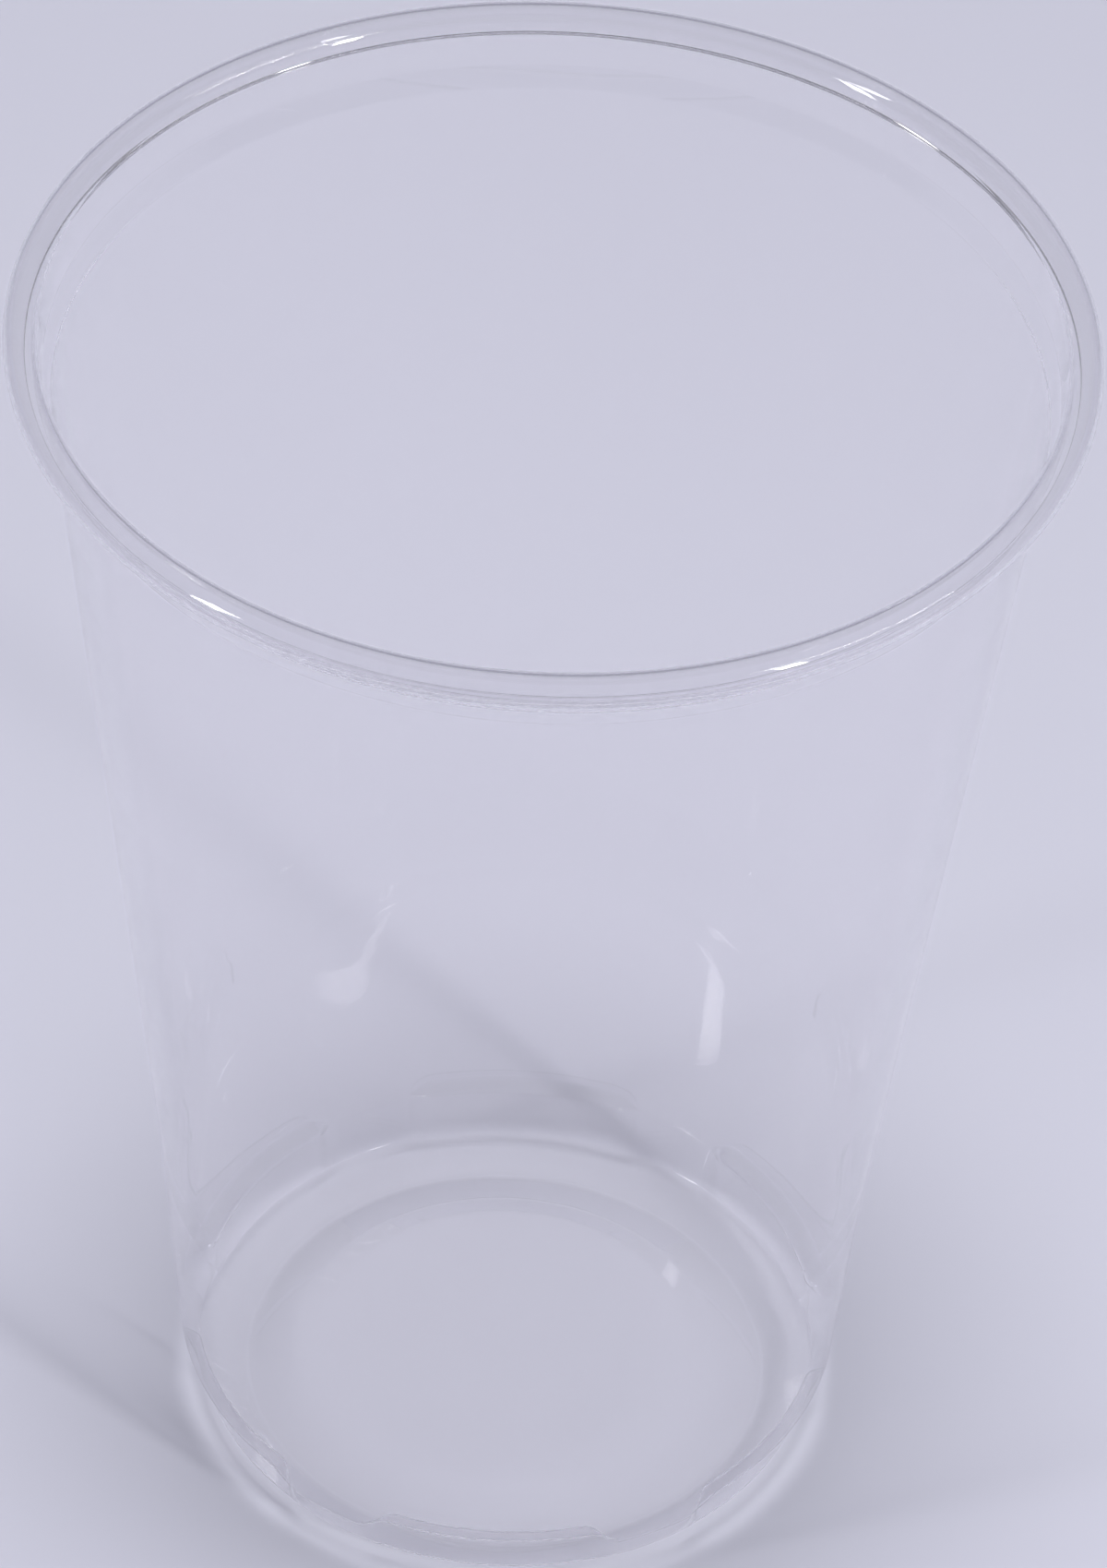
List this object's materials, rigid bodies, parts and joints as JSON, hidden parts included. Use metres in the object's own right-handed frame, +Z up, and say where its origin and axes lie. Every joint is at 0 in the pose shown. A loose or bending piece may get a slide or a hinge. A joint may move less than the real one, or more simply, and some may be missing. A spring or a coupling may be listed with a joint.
{
  "type": "plastic cup",
  "caption": "Clear plastic cold drink cup with a rolled rim, a step for a lid, a tapered wall, stacking lugs round its heel and a raised floor with a round panel",
  "frame": {"origin": "centre of the foot ring, on the plane the cup stands on", "axes": "+Z up along the cup's axis, from the foot to the rim; +X through the middle of one of the six gaps between the stacking lugs; +Y through the middle of a lug"},
  "size_m": [0.092, 0.092, 0.123],
  "materials": {
    "clear_plastic": "clear, glossy, untinted"
  },
  "bodies": {
    "root": {"cup": "clear_plastic"}
  },
  "joints": []
}
